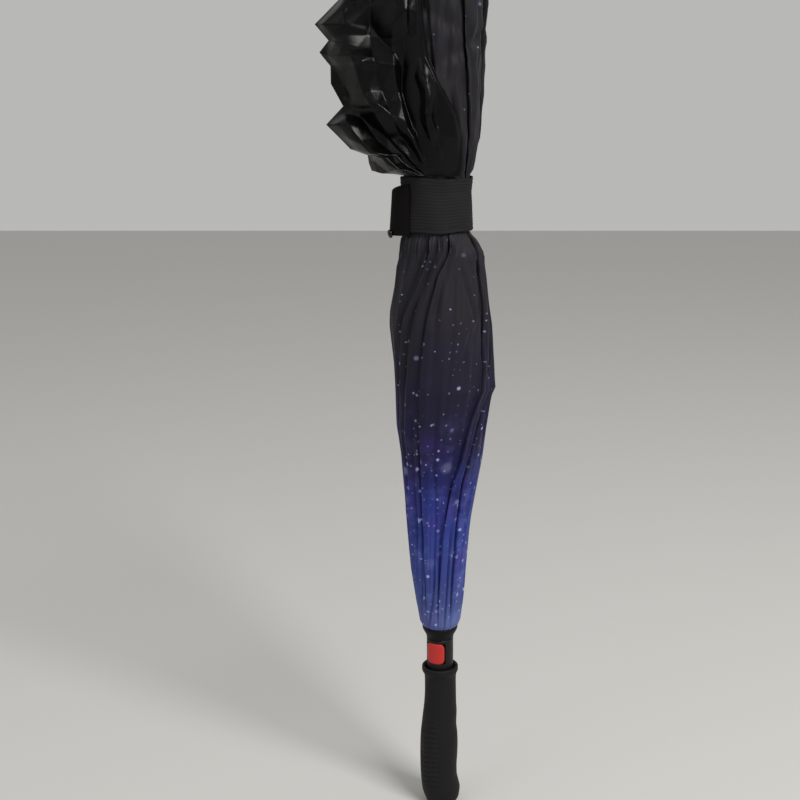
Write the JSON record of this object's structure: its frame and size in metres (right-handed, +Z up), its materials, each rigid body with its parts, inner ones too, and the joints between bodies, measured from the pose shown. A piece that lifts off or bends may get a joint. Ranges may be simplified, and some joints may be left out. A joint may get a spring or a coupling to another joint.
{
  "type": "stick umbrella",
  "caption": "Closed reverse-folding automatic stick umbrella with a straight rubber grip, a push button, a closing strap and a double canopy that opens as its runner slides up.",
  "frame": {"origin": "middle of the flat end of the handle, on the shaft's axis", "axes": "+Z up the shaft towards the top cap; the push button is on the -Y side; +X to the right when the button is looked at"},
  "size_m": [0.1319, 0.0762, 0.795],
  "materials": {
    "grip_rubber": "matt",
    "black_plastic": "satin",
    "red_button": "satin",
    "steel": "black-oxide to bright steel",
    "fibreglass": "resin rod",
    "printed_canopy": "printed pongee, black turning to blue",
    "black_canopy": "coated pongee",
    "strap_webbing": "matt",
    "stud_metal": "dull"
  },
  "bodies": {
    "handle_and_shaft": {"grip": "grip_rubber", "grip_panel": "grip_rubber", "neck_housing": "black_plastic", "button_spring": "steel", "shaft_tube": "steel", "top_notch": "black_plastic", "top_cap": "black_plastic"},
    "push_button": {"push_button": "red_button"},
    "runner": {"runner_hub": "black_plastic", "runner_collar": "black_plastic", "hub_rosette": "printed_canopy"},
    "rib_1": {"rib_1": "fibreglass", "rib_tip_1": "black_plastic"},
    "rib_2": {"rib_2": "fibreglass", "rib_tip_2": "black_plastic"},
    "rib_3": {"rib_3": "fibreglass", "rib_tip_3": "black_plastic"},
    "rib_4": {"rib_4": "fibreglass", "rib_tip_4": "black_plastic"},
    "rib_5": {"rib_5": "fibreglass", "rib_tip_5": "black_plastic"},
    "rib_6": {"rib_6": "fibreglass", "rib_tip_6": "black_plastic"},
    "rib_7": {"rib_7": "fibreglass", "rib_tip_7": "black_plastic"},
    "rib_8": {"rib_8": "fibreglass", "rib_tip_8": "black_plastic"},
    "stretcher_1": {"stretcher_1": "steel"},
    "stretcher_2": {"stretcher_2": "steel"},
    "stretcher_3": {"stretcher_3": "steel"},
    "stretcher_4": {"stretcher_4": "steel"},
    "stretcher_5": {"stretcher_5": "steel"},
    "stretcher_6": {"stretcher_6": "steel"},
    "stretcher_7": {"stretcher_7": "steel"},
    "stretcher_8": {"stretcher_8": "steel"},
    "gore_1": {"gore_1": "printed_canopy"},
    "gore_2": {"gore_2": "printed_canopy"},
    "gore_3": {"gore_3": "printed_canopy"},
    "gore_4": {"gore_4": "printed_canopy", "strap_band": "strap_webbing", "strap_tail": "strap_webbing", "strap_stud": "stud_metal", "rim_flop": "black_canopy"},
    "gore_5": {"gore_5": "printed_canopy"},
    "gore_6": {"gore_6": "printed_canopy"},
    "gore_7": {"gore_7": "printed_canopy"},
    "gore_8": {"gore_8": "printed_canopy"},
    "crown_1": {"crown_gore_1": "black_canopy"},
    "crown_2": {"crown_gore_2": "black_canopy"},
    "crown_3": {"crown_gore_3": "black_canopy"},
    "crown_4": {"crown_gore_4": "black_canopy"},
    "crown_5": {"crown_gore_5": "black_canopy"},
    "crown_6": {"crown_gore_6": "black_canopy"},
    "crown_7": {"crown_gore_7": "black_canopy"},
    "crown_8": {"crown_gore_8": "black_canopy"}
  },
  "joints": [
    {"name": "push_button_press", "type": "slide", "parent": "handle_and_shaft", "child": "push_button", "axis": [0.4067, 0.9135, 0], "range_m": [0, 0.0016], "stiffness_N_per_m": 700, "springref_m": -0.001},
    {"name": "runner_slide", "type": "slide", "parent": "handle_and_shaft", "child": "runner", "axis": [0, 0, 1], "range_m": [0, 0.5072], "deforming": ["gore_1", "gore_2", "gore_3", "gore_4", "gore_5", "gore_6", "gore_7", "gore_8", "crown_gore_1", "crown_gore_2", "crown_gore_3", "crown_gore_4", "crown_gore_5", "crown_gore_6", "crown_gore_7", "crown_gore_8", "strap_band", "strap_tail", "rim_flop"]},
    {"name": "rib_1_hinge", "type": "hinge", "parent": "runner", "child": "rib_1", "pos_m": [0.00831, 0.00344, 0.172], "axis": [-0.3827, 0.9239, 0], "range_deg": [0, 96.7]},
    {"name": "rib_2_hinge", "type": "hinge", "parent": "runner", "child": "rib_2", "pos_m": [0.00344, 0.00831, 0.172], "axis": [-0.9239, 0.3827, 0], "range_deg": [0, 96.7]},
    {"name": "rib_3_hinge", "type": "hinge", "parent": "runner", "child": "rib_3", "pos_m": [-0.00344, 0.00831, 0.172], "axis": [-0.9239, -0.3827, 0], "range_deg": [0, 96.7]},
    {"name": "rib_4_hinge", "type": "hinge", "parent": "runner", "child": "rib_4", "pos_m": [-0.00831, 0.00344, 0.172], "axis": [-0.3827, -0.9239, 0], "range_deg": [0, 96.7]},
    {"name": "rib_5_hinge", "type": "hinge", "parent": "runner", "child": "rib_5", "pos_m": [-0.00831, -0.00344, 0.172], "axis": [0.3827, -0.9239, 0], "range_deg": [0, 96.7]},
    {"name": "rib_6_hinge", "type": "hinge", "parent": "runner", "child": "rib_6", "pos_m": [-0.00344, -0.00831, 0.172], "axis": [0.9239, -0.3827, 0], "range_deg": [0, 96.7]},
    {"name": "rib_7_hinge", "type": "hinge", "parent": "runner", "child": "rib_7", "pos_m": [0.00344, -0.00831, 0.172], "axis": [0.9239, 0.3827, 0], "range_deg": [0, 96.7]},
    {"name": "rib_8_hinge", "type": "hinge", "parent": "runner", "child": "rib_8", "pos_m": [0.00831, -0.00344, 0.172], "axis": [0.3827, 0.9239, 0], "range_deg": [0, 96.7]},
    {"name": "stretcher_1_hinge", "type": "hinge", "parent": "handle_and_shaft", "child": "stretcher_1", "pos_m": [0.00831, 0.00344, 0.75], "axis": [0.3827, -0.9239, 0], "range_deg": [0, 67.2]},
    {"name": "stretcher_2_hinge", "type": "hinge", "parent": "handle_and_shaft", "child": "stretcher_2", "pos_m": [0.00344, 0.00831, 0.75], "axis": [0.9239, -0.3827, 0], "range_deg": [0, 67.2]},
    {"name": "stretcher_3_hinge", "type": "hinge", "parent": "handle_and_shaft", "child": "stretcher_3", "pos_m": [-0.00344, 0.00831, 0.75], "axis": [0.9239, 0.3827, 0], "range_deg": [0, 67.2]},
    {"name": "stretcher_4_hinge", "type": "hinge", "parent": "handle_and_shaft", "child": "stretcher_4", "pos_m": [-0.00831, 0.00344, 0.75], "axis": [0.3827, 0.9239, 0], "range_deg": [0, 67.2]},
    {"name": "stretcher_5_hinge", "type": "hinge", "parent": "handle_and_shaft", "child": "stretcher_5", "pos_m": [-0.00831, -0.00344, 0.75], "axis": [-0.3827, 0.9239, 0], "range_deg": [0, 67.2]},
    {"name": "stretcher_6_hinge", "type": "hinge", "parent": "handle_and_shaft", "child": "stretcher_6", "pos_m": [-0.00344, -0.00831, 0.75], "axis": [-0.9239, 0.3827, 0], "range_deg": [0, 67.2]},
    {"name": "stretcher_7_hinge", "type": "hinge", "parent": "handle_and_shaft", "child": "stretcher_7", "pos_m": [0.00344, -0.00831, 0.75], "axis": [-0.9239, -0.3827, 0], "range_deg": [0, 67.2]},
    {"name": "stretcher_8_hinge", "type": "hinge", "parent": "handle_and_shaft", "child": "stretcher_8", "pos_m": [0.00831, -0.00344, 0.75], "axis": [-0.3827, -0.9239, 0], "range_deg": [0, 67.2]},
    {"name": "gore_1_unfold", "type": "hinge", "parent": "rib_1", "child": "gore_1", "pos_m": [0.00689, 0.00689, 0.172], "axis": [-0.4917, -0.4917, -0.7186], "range_deg": [0, 66.6]},
    {"name": "gore_2_unfold", "type": "hinge", "parent": "rib_2", "child": "gore_2", "pos_m": [0, 0.00974, 0.172], "axis": [0, -0.6954, -0.7186], "range_deg": [0, 66.6]},
    {"name": "gore_3_unfold", "type": "hinge", "parent": "rib_3", "child": "gore_3", "pos_m": [-0.00689, 0.00689, 0.172], "axis": [0.4917, -0.4917, -0.7186], "range_deg": [0, 66.6]},
    {"name": "gore_4_unfold", "type": "hinge", "parent": "rib_4", "child": "gore_4", "pos_m": [-0.00974, 0, 0.172], "axis": [0.6954, 0, -0.7186], "range_deg": [0, 66.6]},
    {"name": "gore_5_unfold", "type": "hinge", "parent": "rib_5", "child": "gore_5", "pos_m": [-0.00689, -0.00689, 0.172], "axis": [0.4917, 0.4917, -0.7186], "range_deg": [0, 66.6]},
    {"name": "gore_6_unfold", "type": "hinge", "parent": "rib_6", "child": "gore_6", "pos_m": [0, -0.00974, 0.172], "axis": [0, 0.6954, -0.7186], "range_deg": [0, 66.6]},
    {"name": "gore_7_unfold", "type": "hinge", "parent": "rib_7", "child": "gore_7", "pos_m": [0.00689, -0.00689, 0.172], "axis": [-0.4917, 0.4917, -0.7186], "range_deg": [0, 66.6]},
    {"name": "gore_8_unfold", "type": "hinge", "parent": "rib_8", "child": "gore_8", "pos_m": [0.00974, 0, 0.172], "axis": [-0.6954, 0, -0.7186], "range_deg": [0, 66.6]},
    {"name": "crown_1_unfold", "type": "hinge", "parent": "stretcher_1", "child": "crown_1", "pos_m": [0.00689, 0.00689, 0.75], "axis": [0.6036, 0.6036, -0.521], "range_deg": [0, 49.01]},
    {"name": "crown_2_unfold", "type": "hinge", "parent": "stretcher_2", "child": "crown_2", "pos_m": [0, 0.00974, 0.75], "axis": [0, 0.8536, -0.521], "range_deg": [0, 49.01]},
    {"name": "crown_3_unfold", "type": "hinge", "parent": "stretcher_3", "child": "crown_3", "pos_m": [-0.00689, 0.00689, 0.75], "axis": [-0.6036, 0.6036, -0.521], "range_deg": [0, 49.01]},
    {"name": "crown_4_unfold", "type": "hinge", "parent": "stretcher_4", "child": "crown_4", "pos_m": [-0.00974, 0, 0.75], "axis": [-0.8536, 0, -0.521], "range_deg": [0, 49.01]},
    {"name": "crown_5_unfold", "type": "hinge", "parent": "stretcher_5", "child": "crown_5", "pos_m": [-0.00689, -0.00689, 0.75], "axis": [-0.6036, -0.6036, -0.521], "range_deg": [0, 49.01]},
    {"name": "crown_6_unfold", "type": "hinge", "parent": "stretcher_6", "child": "crown_6", "pos_m": [0, -0.00974, 0.75], "axis": [0, -0.8536, -0.521], "range_deg": [0, 49.01]},
    {"name": "crown_7_unfold", "type": "hinge", "parent": "stretcher_7", "child": "crown_7", "pos_m": [0.00689, -0.00689, 0.75], "axis": [0.6036, -0.6036, -0.521], "range_deg": [0, 49.01]},
    {"name": "crown_8_unfold", "type": "hinge", "parent": "stretcher_8", "child": "crown_8", "pos_m": [0.00974, 0, 0.75], "axis": [0.8536, 0, -0.521], "range_deg": [0, 49.01]}
  ],
  "couplings": [
    {"joint": "rib_1_hinge", "follows": "runner_slide", "rad_per_m": 3.3172},
    {"joint": "rib_2_hinge", "follows": "runner_slide", "rad_per_m": 3.3172},
    {"joint": "rib_3_hinge", "follows": "runner_slide", "rad_per_m": 3.3172},
    {"joint": "rib_4_hinge", "follows": "runner_slide", "rad_per_m": 3.3172},
    {"joint": "rib_5_hinge", "follows": "runner_slide", "rad_per_m": 3.3172},
    {"joint": "rib_6_hinge", "follows": "runner_slide", "rad_per_m": 3.3172},
    {"joint": "rib_7_hinge", "follows": "runner_slide", "rad_per_m": 3.3172},
    {"joint": "rib_8_hinge", "follows": "runner_slide", "rad_per_m": 3.3172},
    {"joint": "stretcher_1_hinge", "follows": "runner_slide", "rad_per_m": 2.3021},
    {"joint": "stretcher_2_hinge", "follows": "runner_slide", "rad_per_m": 2.3021},
    {"joint": "stretcher_3_hinge", "follows": "runner_slide", "rad_per_m": 2.3021},
    {"joint": "stretcher_4_hinge", "follows": "runner_slide", "rad_per_m": 2.3021},
    {"joint": "stretcher_5_hinge", "follows": "runner_slide", "rad_per_m": 2.3021},
    {"joint": "stretcher_6_hinge", "follows": "runner_slide", "rad_per_m": 2.3021},
    {"joint": "stretcher_7_hinge", "follows": "runner_slide", "rad_per_m": 2.3021},
    {"joint": "stretcher_8_hinge", "follows": "runner_slide", "rad_per_m": 2.3021},
    {"joint": "gore_1_unfold", "follows": "runner_slide", "rad_per_m": 2.2815},
    {"joint": "gore_2_unfold", "follows": "runner_slide", "rad_per_m": 2.2815},
    {"joint": "gore_3_unfold", "follows": "runner_slide", "rad_per_m": 2.2815},
    {"joint": "gore_4_unfold", "follows": "runner_slide", "rad_per_m": 2.2815},
    {"joint": "gore_5_unfold", "follows": "runner_slide", "rad_per_m": 2.2815},
    {"joint": "gore_6_unfold", "follows": "runner_slide", "rad_per_m": 2.2815},
    {"joint": "gore_7_unfold", "follows": "runner_slide", "rad_per_m": 2.2815},
    {"joint": "gore_8_unfold", "follows": "runner_slide", "rad_per_m": 2.2815},
    {"joint": "crown_1_unfold", "follows": "runner_slide", "rad_per_m": 1.6761},
    {"joint": "crown_2_unfold", "follows": "runner_slide", "rad_per_m": 1.6761},
    {"joint": "crown_3_unfold", "follows": "runner_slide", "rad_per_m": 1.6761},
    {"joint": "crown_4_unfold", "follows": "runner_slide", "rad_per_m": 1.6761},
    {"joint": "crown_5_unfold", "follows": "runner_slide", "rad_per_m": 1.6761},
    {"joint": "crown_6_unfold", "follows": "runner_slide", "rad_per_m": 1.6761},
    {"joint": "crown_7_unfold", "follows": "runner_slide", "rad_per_m": 1.6761},
    {"joint": "crown_8_unfold", "follows": "runner_slide", "rad_per_m": 1.6761}
  ]
}
